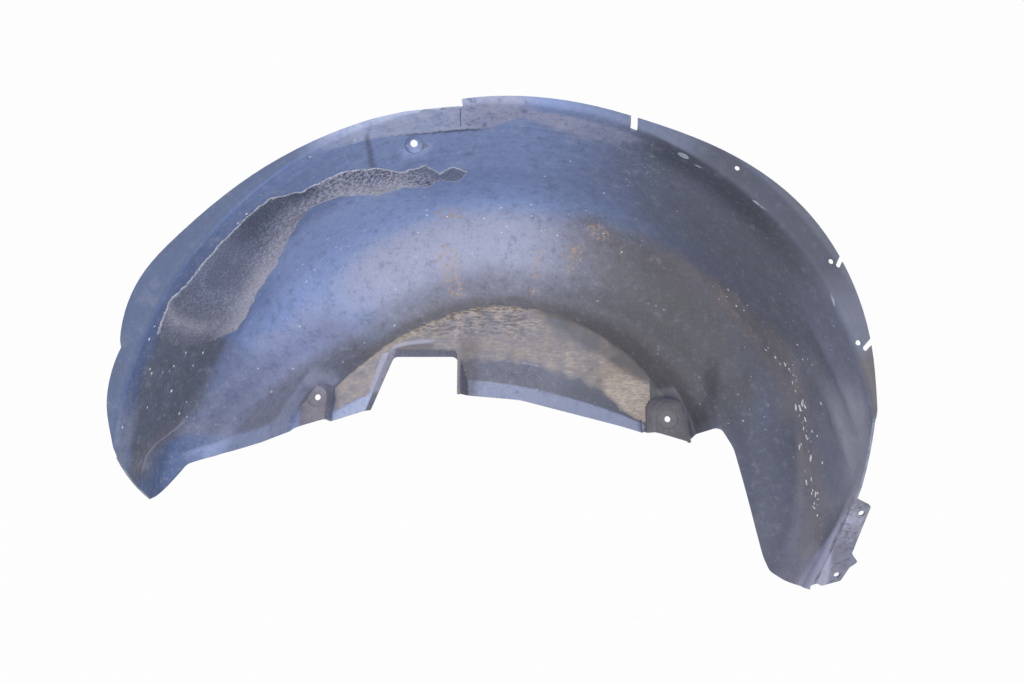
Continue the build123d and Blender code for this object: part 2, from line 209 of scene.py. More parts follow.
# %% Colours and finishes
def srgb(red, green, blue):
    """Linear colour from the 0 to 255 numbers of a picture."""
    def linear(part):
        part = part / 255.0
        return part / 12.92 if part <= 0.04045 else ((part + 0.055) / 1.055) ** 2.4
    return (linear(red), linear(green), linear(blue), 1.0)


def mixed(first, second, share):
    """Colour on the way from first to second. Either one may be a link."""
    return new_node(share.tree, "ShaderNodeMix", {"data_type": "RGBA"}, {0: share, 6: first, 7: second}, 2)


def new_finish(name):
    """New material, with its shader and the place on the piece."""
    finish = bpy.data.materials.new(name)
    finish.use_nodes = True
    place = new_node(finish.node_tree, "ShaderNodeTexCoord", {}, {}, "Object")
    return finish, finish.node_tree.nodes["Principled BSDF"], place


def around_wheel(place):
    """Millimetres right of the wheel axis, inboard of the rim, and above the axis."""
    parts = place.add("ShaderNodeSeparateXYZ", {}, {0: place}).socket.node.outputs
    middles = (AXIS_X, RIM_Y, AXIS_Z)
    return [(Value(place.tree, part) - middle) * MM for part, middle in zip(parts, middles)]


print("helpers for finishes ready")

# %% [markdown]
# A white studio: the camera sees plain white, while the liner is lit by a dimmer, even sky.
# A Light Path node tells the two apart, so the white needs no more light on the object.

# %% World
SKY_LEVEL = 0.49
BACKGROUND = 0.983
WHITE = (1.0, 1.0, 1.0, 1.0)


def seen_rays(tree):
    """1 for rays from the camera or from a mirror or glass, and 0 for the rays that light the object."""
    camera_ray = new_node(tree, "ShaderNodeLightPath", {}, {}, "Is Camera Ray")
    outputs = camera_ray.socket.node.outputs
    total = camera_ray + Value(tree, outputs["Is Glossy Ray"]) + Value(tree, outputs["Is Transmission Ray"])
    return total.rise(0.0, 1.0)


world = bpy.data.worlds.new("studio")
world.use_nodes = True
scene.world = world
sky = world.node_tree.nodes["Background"]
sky.inputs["Color"].default_value = WHITE
level = seen_rays(world.node_tree) * (BACKGROUND - SKY_LEVEL) + SKY_LEVEL
level.feed(sky, "Strength")
print("sky at", SKY_LEVEL)

# %% [markdown]
# The floor lies well below, because the liner is held by its screws and doesn't stand on anything.
# A share of plain white, for the camera alone, lets it run into the background without a line.

# %% Floor
FLOOR_WHITE = 0.97
FLOOR_HALF = 9.0
FLOOR_Z = -0.62
floor_shape = bmesh.new()
bmesh.ops.create_grid(floor_shape, x_segments=2, y_segments=2, size=FLOOR_HALF)
bmesh.ops.translate(floor_shape, verts=floor_shape.verts, vec=(0.0, 0.0, FLOOR_Z))
floor_mesh = bpy.data.meshes.new("floor")
floor_shape.to_mesh(floor_mesh)
floor_shape.free()
floor = bpy.data.objects.new("floor", floor_mesh)
scene.collection.objects.link(floor)

floor_finish = bpy.data.materials.new("pale_floor")
floor_finish.use_nodes = True
floor_tree = floor_finish.node_tree
floor_shader = floor_tree.nodes["Principled BSDF"]
floor_shader.inputs["Base Color"].default_value = (0.86, 0.86, 0.86, 1.0)
floor_shader.inputs["Roughness"].default_value = 0.9
white = new_node(floor_tree, "ShaderNodeEmission", {}, {"Color": WHITE, "Strength": 1.0})
shown = seen_rays(floor_tree) * FLOOR_WHITE
bare_floor = Value(floor_tree, floor_shader.outputs[0])
pale = new_node(floor_tree, "ShaderNodeMixShader", {}, {0: shown, 1: bare_floor, 2: white})
pale.feed(floor_tree.nodes["Material Output"], "Surface")
floor_mesh.materials.append(floor_finish)
print("floor at", FLOOR_Z)

# %% [markdown]
# Two large soft lamps stand near the camera: one straight in front, and a weaker one below it that lights
# the underside of the roll. Large lamps leave no sharp shadows in the bowl.

# %% Lamps
def soft_lamp(name, place, target, size, power):
    """Large square lamp that looks at a point."""
    data = bpy.data.lights.new(name, "AREA")
    data.size = size
    data.energy = power
    lamp = bpy.data.objects.new(name, data)
    lamp.location = place
    lamp.rotation_euler = (Vector(target) - Vector(place)).to_track_quat("-Z", "Y").to_euler()
    scene.collection.objects.link(lamp)


soft_lamp("front_lamp", (0.0, -2.3, 0.05), (0.0, 0.0, 0.05), 1.5, 23.6)
soft_lamp("low_lamp", (0.0, -1.4, -0.5), (0.0, 0.0, 0.2), 0.9, 8.0)
print("studio ready")

# %% [markdown]
# The CAD mesh is loose triangles, so a copy is merged before it can be shaded smoothly.
# Edges that bend sharply stay crisp. The faces fall into three kinds, each with its own finish:
# the side that the tyre throws dirt at, the hidden back, and the thin faces along trimmed edges.
# A ray sent into the wall from a trimmed edge goes far, while from the wall's faces it soon comes out.

# %% The shell
WHEEL_SIDE, BACK_SIDE, TRIMMED = 0, 1, 2
WALL_REACH = 0.0055
SKIN = 0.00005
MERGE = 0.00001
SHARP = math.radians(32.0)
shell_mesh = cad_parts["arch_liner"].data.copy()
shell_mesh.name = "liner_shell"
shell_mesh.materials.clear()
shell = bpy.data.objects.new("liner_shell", shell_mesh)
scene.collection.objects.link(shell)
shape = bmesh.new()
shape.from_mesh(shell_mesh)
bmesh.ops.remove_doubles(shape, verts=shape.verts, dist=MERGE)
bmesh.ops.dissolve_degenerate(shape, edges=shape.edges, dist=MERGE)
shape.normal_update()
wall_tree = BVHTree.FromBMesh(shape)
kinds = [0, 0, 0]
for face in shape.faces:
    face.smooth = True
    face.material_index = WHEEL_SIDE
    middle = face.calc_center_median()
    outward = Vector((middle.x - AXIS_X, 0.0, middle.z - AXIS_Z)).normalized()
    found = wall_tree.ray_cast(middle - face.normal * SKIN, -face.normal, WALL_REACH)
    if found[0] is None:
        face.material_index = TRIMMED
    elif face.normal.dot(outward) * 0.7 + face.normal.y > 0.0:
        face.material_index = BACK_SIDE
    kinds[face.material_index] += 1
for edge in shape.edges:
    edge.smooth = edge.calc_face_angle(0.0) < SHARP
shape.to_mesh(shell_mesh)
shape.free()
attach(shell, "root")
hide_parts("arch_liner")
print("shell faces on the wheel side, the back and trimmed edges:", kinds)

# %% [markdown]
# The wheel side has many marks, and each is a mask on the way round, the depth, the height or the radius.
# In rise and curve, the numbers are therefore degrees or millimetres on the liner.
# A few noises of different sizes break the masks up, as no mark on a real liner has a clean edge.

# %% Places and noises on the plastic
plastic, coat, place = new_finish("weathered_plastic")
arch_x, depth, arch_z = around_wheel(place)
radius = (arch_x * arch_x + arch_z * arch_z) ** 0.5
way = place.math("ARCTAN2", arch_x, arch_z) * (180.0 / math.pi)
blotch = place.grain(9.0, 4.0)
patchy = place.grain(34.0, 4.0, 0.65)
fine = place.grain(210.0, 3.0, 0.7)
dusty = place.grain(620.0, 2.0)
sweep_line = place.add("ShaderNodeCombineXYZ", {}, {0: way * 0.035, 1: depth * 0.16, 2: radius * 0.03})
streak = sweep_line.grain(1.0, 4.0)
print("masks run round the arch, inboard and up")

# %% [markdown]
# The plastic is slate blue at the left and the crown, and greyer and browner towards the right leg.
# A pale film covers the deeper left and middle: dust where the spray dries, with a painted sheen in it.
# A painted highlight lies on the barrel below the scar's tail, and the left flank is mauve.

# %% Base colours of the plastic
BLUE = srgb(112, 130, 175)
SLATE = srgb(94, 97, 110)
turning = (way + (blotch - 0.5) * 24.0).rise(-2.0, 44.0)
legward = way.rise(66.0, 96.0)
colour = mixed(BLUE, SLATE, turning * (1.0 - legward * 0.25))
left_barrel = way.rise(-34.0, -64.0) * depth.rise(150.0, 90.0)
colour = mixed(colour, srgb(86, 103, 142), left_barrel * 0.9)
left_flange = depth.rise(4.0, 1.0) * way.rise(-10.0, -34.0)
colour = mixed(colour, srgb(84, 97, 128), left_flange)
crown = way.rise(-36.0, -20.0) * way.rise(24.0, 4.0) * depth.rise(150.0, 120.0)
colour = mixed(colour, srgb(136, 154, 200), crown * 0.6)
right_barrel = way.rise(56.0, 66.0) * way.rise(90.0, 80.0) * depth.rise(80.0, 40.0)
colour = mixed(colour, srgb(112, 116, 138), right_barrel * 0.5)
# Pale dust with a painted sheen on the deeper left and middle.
pale_film_and_sheen = depth.rise(100.0, 235.0) * way.rise(-92.0, -48.0) * (way + (blotch - 0.5) * 30.0).rise(58.0, 4.0)
deep_film = way.rise(-62.0, -30.0) * depth.rise(206.0, 248.0)
pale_dust_and_sheen = mixed(srgb(146, 167, 216), srgb(176, 178, 200), deep_film)
colour = mixed(colour, pale_dust_and_sheen, pale_film_and_sheen * (0.6 + 0.3 * patchy))
# Painted highlight on the barrel below the scar's tail.
highlight_under_tail = way.rise(-58.0, -46.0) * way.rise(-12.0, -24.0) * depth.rise(104.0, 124.0)
colour = mixed(colour, srgb(150, 169, 216), highlight_under_tail * depth.rise(222.0, 190.0) * 0.62)
flank_line = way.curve([
    (-88.0, 114.0), (-80.0, 128.0), (-74.0, 150.0), (-64.0, 184.0), (-53.0, 220.0), (-44.0, 240.0),
])
flank_off = depth - flank_line + (patchy - 0.5) * 16.0
on_flank = way.rise(-90.0, -84.0) * way.rise(-44.0, -52.0)
colour = mixed(colour, srgb(158, 156, 178), flank_off.rise(-12.0, 2.0) * on_flank * 0.4)
colour = mixed(colour, srgb(112, 112, 130), flank_off.rise(0.0, 15.0) * on_flank * 0.6)
colour = mixed(colour, srgb(86, 98, 140), streak.rise(0.5, 0.72) * 0.28 * (1.0 - pale_film_and_sheen))
colour = mixed(colour, srgb(160, 164, 182), patchy.rise(0.54, 0.78) * 0.22)
colour = mixed(colour, srgb(74, 78, 92), patchy.rise(0.44, 0.26) * 0.22)
print("plastic base made")

# %% [markdown]
# Dust hangs under the rim in a band with a ragged dark lower line. It could be a sheet as the mud is,
# but it has no thickness to see, so it is colour alone. A ring round the clip seat, a painted highlight on
# its lower side, and a thin dark spur left of it are painted in the same way.
# Painted shade, with some dirt, darkens the crease on the right.

# %% Dust under the rim, with painted light at the clip seat and the crease
ragged = (place.grain(60.0, 4.0, 0.7) - 0.5) * 16.0 + (place.grain(240.0, 2.0) - 0.5) * 5.0
band_line = way.curve([
    (-36.0, 0.0), (-20.0, 32.0), (-12.0, 45.0), (-3.0, 54.0), (0.5, 40.0), (4.5, 26.0), (9.0, 36.0),
    (13.0, 48.0), (20.0, 46.0), (26.0, 8.0),
])
below = band_line - depth + ragged * 0.55
in_span = way.rise(-34.0, -22.0) * way.rise(26.0, 24.0)
under_crease = 1.0 - way.rise(2.0, 8.0) * depth.rise(17.0, 11.0)
soft_end = way.rise(1.0, 9.0)
band_edge = below.rise(-0.8, 1.2) * (1.0 - soft_end) + below.rise(-9.0, 7.0) * soft_end
band = band_edge * in_span * under_crease * (1.0 - 0.5 * way.rise(11.0, 17.0))
caked = place.grain(85.0, 5.0, 0.7)
band_colour = mixed(srgb(172, 180, 210), srgb(158, 160, 186), way.rise(-9.0, -2.0))
colour = mixed(colour, band_colour, band * (0.45 + 0.5 * caked.rise(0.34, 0.62)))
right_band = band * way.rise(-10.0, -4.0)
colour = mixed(colour, srgb(96, 96, 116), right_band * caked.rise(0.46, 0.34) * 0.6)
colour = mixed(colour, srgb(186, 180, 196), right_band * caked.rise(0.58, 0.68) * 0.4)
ragged_edge = (below + (fine - 0.5) * 8.0).size().rise(3.4, 0.6)
ragged_edge = ragged_edge * way.rise(-20.0, -13.0) * way.rise(-1.0, -5.0)
colour = mixed(colour, srgb(58, 62, 80), ragged_edge * streak.rise(0.32, 0.5) * 0.75)

# Painted highlight on the lower side of the clip seat.
seat_off = ((arch_x + 96.0) ** 2.0 + (arch_z - 358.0) ** 2.0 + (depth - 66.0) ** 2.0) ** 0.5
colour = mixed(colour, srgb(164, 182, 226), seat_off.rise(26.0, 10.0) * depth.rise(56.0, 70.0) * 0.7)
spur_off = (way + 22.2 + (depth - 27.0) * 0.021).size() * 6.4 + (fine - 0.5) * 12.0
spur = (spur_off - 1.4 - (depth - 18.0) * 0.03).rise(2.6, -1.4)
colour = mixed(colour, srgb(80, 84, 104), spur * depth.rise(10.0, 24.0) * depth.rise(100.0, 84.0) * 0.65)
# Painted shade, with some dirt, in the crease on the right.
crease = way.rise(20.0, 30.0) * way.rise(64.0, 44.0) * depth.rise(1.5, 4.0) * depth.rise(60.0, 20.0)
colour = mixed(colour, srgb(58, 61, 74), crease * 0.85)
print("dust under the rim made")

# %% [markdown]
# Brown road dirt runs along the right shoulder and down the leg, where the wheel throws it.
# It follows a line through a few points, wide on the deep side, with grit and pale crumbs in it.

# %% Road dirt on the right
dirt_line = way.curve([
    (14.0, 236.0), (26.0, 230.0), (37.0, 220.0), (48.0, 191.0), (60.0, 171.0), (71.0, 128.0), (80.0, 138.0),
    (90.0, 137.0), (104.0, 102.0),
])
dirt_way = depth - dirt_line + (blotch - 0.5) * 20.0
dirt = dirt_way.rise(56.0, 6.0) * dirt_way.rise(-38.0, -6.0) * way.rise(12.0, 22.0)
dirt = dirt * (0.45 + 0.55 * patchy.rise(0.38, 0.62))
gritty = place.grain(430.0, 4.0, 0.75)
colour = mixed(colour, srgb(128, 120, 119), dirt * (0.45 + 0.4 * gritty.rise(0.38, 0.6)))
colour = mixed(colour, srgb(72, 68, 70), dirt * gritty.rise(0.42, 0.3) * 0.6)
crumbs = gritty.rise(0.60, 0.68) * dirt
colour = mixed(colour, srgb(190, 172, 154), crumbs * 0.7)
print("road dirt made")

# %% [markdown]
# Dirt also lies on the roll above the land and greys the right leg. Painted shade darkens the roll where it
# turns down to the land, and the right roll, which is dirty too. Water has washed the leg's rim paler, and
# the leg's root is darker. Painted shade darkens a groove on the leg.

# %% Roll and leg
off_land = depth.rise(300.0, 297.0)
rolled = depth.rise(262.0, 282.0) * off_land * way.rise(-66.0, -44.0) * way.rise(64.0, 40.0)
colour = mixed(colour, srgb(122, 116, 116), rolled * (0.45 + 0.5 * patchy))
# Painted shade where the roll turns down to the land.
roll_shade = radius.rise(280.0, 242.0) * depth.rise(205.0, 225.0) * depth.rise(297.0, 291.0)
colour = mixed(colour, srgb(92, 93, 102), roll_shade * way.rise(-70.0, -58.0) * (0.42 + 0.2 * patchy))
# Painted shade and dirt on the right roll.
right_roll_dirt_and_shade = depth.rise(178.0, 232.0) * off_land * way.rise(0.0, 44.0) * way.rise(92.0, 70.0)
colour = mixed(colour, srgb(90, 89, 93), right_roll_dirt_and_shade * 0.85)
leg_dust = way.rise(64.0, 82.0) * depth.rise(36.0, 90.0) * depth.rise(186.0, 150.0)
colour = mixed(colour, srgb(146, 145, 156), leg_dust * (0.4 + 0.6 * blotch.rise(0.35, 0.6)) * 0.62)
leg_shade = way.rise(74.0, 86.0) * depth.rise(146.0, 162.0) * radius.rise(280.0, 296.0)
colour = mixed(colour, srgb(80, 84, 100), leg_shade * 0.75)
leg_root = way.rise(67.0, 72.0) * way.rise(90.0, 83.0) * depth.rise(188.0, 200.0)
colour = mixed(colour, srgb(68, 68, 74), leg_root * radius.rise(270.0, 280.0) * 0.4)
leg_rim = way.rise(74.0, 82.0) * depth.rise(4.0, 20.0) * depth.rise(86.0, 50.0)
colour = mixed(colour, srgb(156, 156, 170), leg_rim * (0.4 + 0.4 * patchy))
# Painted shade in the groove on the leg.
groove_shade = (arch_x - 252.7 - arch_z * 0.166).size().rise(15.0, 3.0) * depth.rise(150.0, 190.0)
colour = mixed(colour, srgb(58, 58, 64), groove_shade * arch_z.rise(40.0, 60.0) * arch_z.rise(150.0, 110.0) * 0.6)
print("roll and leg made")

# %% [markdown]
# The faces of the two screw pads are grey with spray. Painted light makes the walls of the right pad paler,
# and a painted highlight runs round the top of the left pad. The right flange is darker, with a brown strip
# down the leg.

# %% Screw pads and right flange
pad_faces = depth.rise(246.0, 249.5) * depth.rise(262.0, 255.0) * arch_z.rise(110.0, 100.0)
pad_tone = mixed(srgb(124, 119, 123), srgb(98, 96, 100), arch_x.rise(-40.0, 40.0))
colour = mixed(colour, pad_tone, pad_faces * (0.55 + 0.35 * patchy))
pad_up = arch_z.math("MAXIMUM", arch_z - 52.0, 0.0)
pad_off = ((arch_x - 222.0) ** 2.0 + pad_up * pad_up) ** 0.5
# Painted light on the walls of the right pad.
pad_wall_light = depth.rise(252.0, 255.0) * depth.rise(298.0, 294.0) * pad_off.rise(54.0, 46.0)
colour = mixed(colour, srgb(154, 152, 162), pad_wall_light * 0.6)
# Painted highlight round the top of the left pad.
pad_top_highlight = depth.rise(206.0, 214.0) * depth.rise(294.0, 284.0)
pad_top_highlight = pad_top_highlight * arch_x.rise(-280.0, -270.0) * arch_x.rise(-218.0, -226.0)
pad_top_highlight = pad_top_highlight * arch_z.rise(92.0, 106.0) * arch_z.rise(130.0, 112.0)
colour = mixed(colour, srgb(172, 178, 206), pad_top_highlight * 0.55)
flange_shade = depth.rise(6.0, 2.0) * way.rise(29.0, 36.0) * way.rise(68.0, 58.0)
colour = mixed(colour, srgb(60, 64, 80), flange_shade * radius.rise(408.0, 402.0) * (0.48 + 0.3 * patchy))
rim_strip = way.rise(72.0, 75.0) * way.rise(94.0, 91.0) * radius.rise(380.0, 382.0) * depth.rise(6.0, 3.0)
colour = mixed(colour, srgb(96, 91, 88), rim_strip * 0.7)
print("pads and flange made")

# %% [markdown]
# The tyre has rubbed the lower part of the left barrel dark. The rubbed stretch narrows towards the lower
# corner, where the sheet has a soft fold with a pale line. Its middle and its half width are two curves.

# %% Rubbed barrel
rub_middle = way.curve([
    (-96.0, 36.0), (-88.0, 43.0), (-84.0, 62.0), (-80.0, 72.0), (-72.0, 82.0), (-62.0, 84.0),
])
rub_half = way.curve([(-96.0, 3.0), (-88.0, 14.0), (-84.0, 40.0), (-78.0, 56.0), (-62.0, 66.0)])
rub_off = (depth - rub_middle).size() / rub_half + (patchy - 0.5) * 0.25
rub_top = way.rise(-64.0, -67.0)
beside_rub = rub_off.rise(1.75, 1.15) * (depth - rub_middle).rise(0.0, 10.0) * rub_top
colour = mixed(colour, srgb(104, 110, 136), beside_rub * way.rise(-93.0, -89.0) * 0.55)
rubbed = rub_off.rise(1.10, 0.86) * rub_top * way.rise(-96.0, -91.0)
colour = mixed(colour, srgb(96, 101, 116), rubbed * 0.85)

# Painted highlight along the ribbon at the lower left, where the lip turns to the light.
ribbon_line = arch_x.curve([
    (-372.0, 4.0), (-350.0, 15.0), (-322.0, 23.0), (-302.0, 37.0), (-284.0, 53.0), (-262.0, 84.0),
])
ribbon_highlight = (ribbon_line - arch_z).rise(-2.0, 3.0) * arch_x.rise(-262.0, -270.0) * depth.rise(99.0, 109.0)
colour = mixed(colour, srgb(148, 161, 202), ribbon_highlight * 0.85)
left_rim = depth.rise(1.0, 6.0) * depth.rise(36.0, 20.0) * way.rise(-79.0, -84.0) * way.rise(-94.0, -90.0)
colour = mixed(colour, srgb(142, 149, 176), left_rim * 0.62)
fold_line = way.curve([
    (-92.0, 48.0), (-88.6, 56.0), (-86.9, 66.0), (-85.4, 83.0), (-83.7, 102.0), (-81.5, 113.0),
])
fold_off = (depth - fold_line).size()
beside_fold = fold_off.rise(28.0, 10.0) * way.rise(-94.0, -91.0) * way.rise(-80.5, -84.0)
colour = mixed(colour, srgb(124, 121, 132), beside_fold * 0.45)
fold = fold_off.rise(3.2, 0.8) * way.rise(-92.0, -90.5) * way.rise(-81.6, -83.2)
colour = mixed(colour, srgb(160, 160, 172), fold * (0.3 + 0.5 * patchy))
print("rubbed barrel made")

# %% [markdown]
# The lips along the lower edges are cleaner and paler, because water runs off there. Painted shade darkens
# the slanted face of the trough above the right lip, which faces down, and the stain beside the notch stays
# dark.
# Painted highlights lighten the left edge of the notch, the curled toe and lip of the leg, and a strip left
# of the left pad.

# %% Pale lips, and painted light on the slant, the notch, the leg and the left pad
lower_lip = depth.rise(315.0, 317.0)
colour = mixed(colour, srgb(142, 150, 180), lower_lip * 0.85)
left_lip = (104.0 + (arch_x + 165.0) * 0.53 - arch_z).rise(-6.0, 2.0) * arch_x.rise(-150.0, -158.0)
colour = mixed(colour, srgb(176, 189, 224), left_lip * depth.rise(293.0, 297.0) * 0.85)
# Painted shade on the slanted face, which faces down.
slant_face_shade = depth.rise(299.5, 301.5) * depth.rise(316.5, 314.5)
colour = mixed(colour, srgb(96, 99, 112), slant_face_shade * (0.55 + 0.3 * arch_x.rise(90.0, 30.0)))
# Painted highlight on the left edge of the notch.
notch_edge = (arch_x + 161.5 + (143.0 - arch_z) * 0.33).size().rise(11.0, 6.0) * arch_z.rise(94.0, 104.0)
notch_edge_highlight = notch_edge * depth.rise(290.0, 296.0) * arch_z.rise(166.0, 156.0)
colour = mixed(colour, srgb(178, 178, 202), notch_edge_highlight * 0.8)
notch_stain = (arch_x + 46.0).size().rise(18.0, 7.0) * depth.rise(297.0, 299.0) * arch_z.rise(172.0, 160.0)
colour = mixed(colour, srgb(88, 86, 92), notch_stain * 0.5)
cut_off = depth - 17.0 - (20.0 - arch_z) * 0.486
on_leg = arch_x.rise(250.0, 300.0)
# Painted highlight where the leg's toe and lip curl towards the light.
leg_lip = (cut_off - arch_z.rise(-60.0, -110.0) * 18.0).rise(20.0, 4.0) * way.rise(94.0, 103.0) * on_leg
leg_toe = arch_z.rise(-60.0, -124.0) * on_leg * depth.rise(154.0, 116.0)
leg_edge_highlight = (leg_lip * 1.2 + leg_toe * 0.6).rise(0.0, 1.2)
colour = mixed(colour, srgb(178, 180, 210), leg_edge_highlight * (0.85 - 0.4 * cut_off.rise(8.0, 0.0)))
tab_face = cut_off.size().rise(6.0, 3.5) * arch_x.rise(352.0, 358.0) * arch_z.rise(-30.0, -40.0)
colour = mixed(colour, srgb(122, 123, 144), tab_face * arch_z.rise(-60.0, -90.0) * 0.95)
colour = mixed(colour, srgb(104, 104, 116), tab_face * patchy.rise(0.40, 0.58) * 0.6)
colour = mixed(colour, srgb(78, 76, 80), tab_face * fine.rise(0.52, 0.66) * 0.6)
# Painted highlight on the strip left of the left pad, where its wall turns to the light.
strip = depth.rise(206.0, 216.0) * depth.rise(248.0, 238.0) * arch_x.rise(-250.0, -256.0)
strip = strip * arch_z.rise(116.0, 104.0) * way.rise(-84.0, -81.0) * way.rise(-62.0, -68.0)
colour = mixed(colour, srgb(148, 154, 186), strip * 0.8)
print("pale lips made")

# %% [markdown]
# A few single marks remain: pale rubs near the right crease, and rusty stains on the shoulder.
# Each is a soft ellipse on the wall, and a fine noise breaks it up.

# %% Small rub marks and stains
MM_PER_DEGREE = ARCH_R * math.pi / 180.0
# way, depth, half length round the arch, half width, slant
RUBS = [
    (31.4, 9.0, 6.5, 3.6, 0.1), (34.3, 11.5, 4.5, 1.2, 0.2), (46.2, 1.5, 12.0, 1.0, 0.12),
    (63.6, 1.5, 11.0, 0.9, -0.2),
]
STAINS = [
    (-11.5, 221.0, 26.0, 11.0, -0.3), (-14.8, 264.0, 20.0, 9.0, 0.0), (19.8, 257.0, 13.0, 8.0, 0.0),
    (22.8, 227.0, 20.0, 10.0, 0.0), (10.4, 267.0, 7.0, 7.0, 0.0),
]


def mark(mark_way, mark_depth, long, wide, slant):
    """Mask of a small soft mark on the wall, long round the arch and wide across."""
    off_way = (way - mark_way) * MM_PER_DEGREE
    off_depth = depth - mark_depth + off_way * slant
    return ((off_way / long) ** 2.0 + (off_depth / wide) ** 2.0).rise(1.25, 0.7)


near_crease = radius.rise(384.0, 381.5)
for rub in RUBS:
    colour = mixed(colour, srgb(176, 182, 200), mark(*rub) * near_crease * fine.rise(0.3, 0.5) * 0.7)
for stain in STAINS:
    colour = mixed(colour, srgb(184, 160, 134), mark(*stain) * fine.rise(0.50, 0.60) * 0.75)
print("rub marks and stains:", len(RUBS), len(STAINS))

# %% [markdown]
# Grit leaves pale specks all over. A Voronoi pattern gives one speck to a cell, and the cell's own colour,
# which is random, decides whether it has one. Fine noises then give the whole skin its dull, pitted grain.

# %% Specks and skin
def speck_cells(scale):
    """Distance to the nearest speck, and the random number of its cell."""
    inputs = {"Vector": place, "Scale": scale, "Randomness": 1.0}
    distance = place.add("ShaderNodeTexVoronoi", {"feature": "F1"}, inputs)
    cell_colour = Value(place.tree, distance.socket.node.outputs["Color"])
    return distance, place.add("ShaderNodeSeparateColor", {}, {0: cell_colour})


cells, lot = speck_cells(105.0)
chosen = lot.rise(0.955, 0.965) * (1.0 - 0.6 * way.rise(14.0, 40.0))
specks = cells.rise(0.22, 0.12) * chosen
tiny, tiny_lot = speck_cells(260.0)
tiny_chosen = tiny_lot.rise(0.93, 0.95) * blotch.rise(0.42, 0.6) * depth.rise(3.0, 12.0)
tiny_specks = tiny.rise(0.30, 0.16) * tiny_chosen
colour = mixed(colour, srgb(205, 208, 220), (specks * 0.8 + tiny_specks * 0.5).rise(0.0, 1.0))
mottle = place.grain(75.0, 5.0, 0.75)
rough_skin = (0.4 + 0.6 * depth.rise(2.0, 10.0)) * (1.0 - 0.45 * way.rise(12.0, 44.0))
colour = mixed(colour, srgb(52, 56, 72), dusty.rise(0.52, 0.72) * rough_skin * 0.18)
colour = mixed(colour, srgb(196, 198, 210), dusty.rise(0.44, 0.28) * rough_skin * 0.10)
colour = mixed(colour, srgb(62, 66, 82), mottle.rise(0.50, 0.28) * rough_skin * 0.36)
colour = mixed(colour, srgb(178, 182, 202), mottle.rise(0.52, 0.76) * rough_skin * 0.34)
colour = mixed(colour, srgb(58, 62, 78), fine.rise(0.54, 0.74) * rough_skin * 0.26)
colour = mixed(colour, srgb(188, 190, 203), fine.rise(0.44, 0.28) * rough_skin * 0.18)
colour.feed(coat, "Base Color")
gloss = 0.62 + (patchy - 0.5) * 0.25 + band * 0.2 + dirt * 0.15
gloss.feed(coat, "Roughness")
coat.inputs["Specular IOR Level"].default_value = 0.35
relief = fine * 0.5 + dusty * 0.3 + patchy * 0.6 + dirt * 0.6
relief.bump(0.22, 0.0008).feed(coat, "Normal")
shell_mesh.materials.append(plastic)
print("weathered plastic has", len(place.tree.nodes), "nodes")

# %% [markdown]
# Where the sheet was trimmed, the plastic shows a paler, duller edge. Stone chips are paler still.
# Both are simple finishes, soft clouds between two colours with fine pores, so they share one function.

# %% Trimmed edges
def clouded(name, dark, light, scale, rough):
    """Plain plastic finish with soft clouds between two colours and a fine grain."""
    finish, surface, spot = new_finish(name)
    cloud = spot.grain(scale, 5.0, 0.5)
    pores = spot.grain(420.0, 2.0, 0.5)
    tone = mixed(dark, light, (cloud.rise(0.3, 0.7) * 0.8 + pores * 0.3).rise(0.0, 1.1))
    tone.feed(surface, "Base Color")
    dull = cloud * 0.2 + rough
    dull.feed(surface, "Roughness")
    pores.bump(0.2, 0.0006).feed(surface, "Normal")
    return finish


trimmed_edge = clouded("trimmed_edge", srgb(94, 101, 122), srgb(138, 144, 166), 60.0, 0.6)
print("trimmed edges made")

# %% [markdown]
# The back of the shell never sees the tyre. It keeps the even slate blue of the moulded sheet, with scuffs
# from handling, dust that has settled on the top, and dried splashes towards the lower edges.
# A stretched noise makes the scuffs: its coordinates are scaled more across them than along them.

# %% Back of the shell
back, surface, spot = new_finish("back_plastic")
height = around_wheel(spot)[2]
cloud = spot.grain(11.0, 6.0)
pores = spot.grain(380.0, 3.0, 0.7)
stretched = spot.add("ShaderNodeMapping", {}, {"Vector": spot, "Scale": (16.0, 190.0, 90.0)})
scuff = stretched.grain(1.0, 5.0, 0.65)
splash = spot.grain(95.0, 4.0, 0.7)
tone = mixed(srgb(106, 117, 149), srgb(120, 131, 163), cloud.rise(0.36, 0.64))
tone = mixed(tone, srgb(160, 167, 190), scuff.rise(0.53, 0.70) * 0.3)
tone = mixed(tone, srgb(78, 86, 110), scuff.rise(0.45, 0.32) * 0.35)
settled = height.rise(230.0, 390.0) * (0.25 + 0.3 * cloud + 0.4 * splash.rise(0.44, 0.6))
tone = mixed(tone, srgb(138, 140, 151), settled)
tone = mixed(tone, srgb(126, 119, 116), height.rise(190.0, 40.0) * splash.rise(0.52, 0.62) * 0.55)
tone = mixed(tone, srgb(58, 62, 76), pores.rise(0.54, 0.72) * 0.35)
tone = mixed(tone, srgb(176, 180, 194), pores.rise(0.44, 0.28) * 0.25)
tone.feed(surface, "Base Color")
dull = cloud * 0.2 + scuff * 0.15 + 0.45
dull.feed(surface, "Roughness")
back_height = pores + scuff * 0.5
back_height.bump(0.25, 0.0007).feed(surface, "Normal")
shell_mesh.materials.append(back)
shell_mesh.materials.append(trimmed_edge)
print("back of the shell made")

# %% [markdown]
# Dirt pieces have to lie on the wall wherever it curves. The Shrinkwrap modifier does that in the editor.
# Here a ray from the wheel axis, or from the front, finds the wall, and the point is set just off it.

# %% Finding the wall
def wall_from_axis(way, depth):
    """Place and normal on the wheel side of the wall, seen from the wheel axis."""
    turn = math.radians(way)
    start = from_arch(0.0, depth, 0.0)
    aim = Vector((math.sin(turn), 0.0, math.cos(turn)))
    found = wall_tree.ray_cast(start, aim)
    return found[0], found[1]


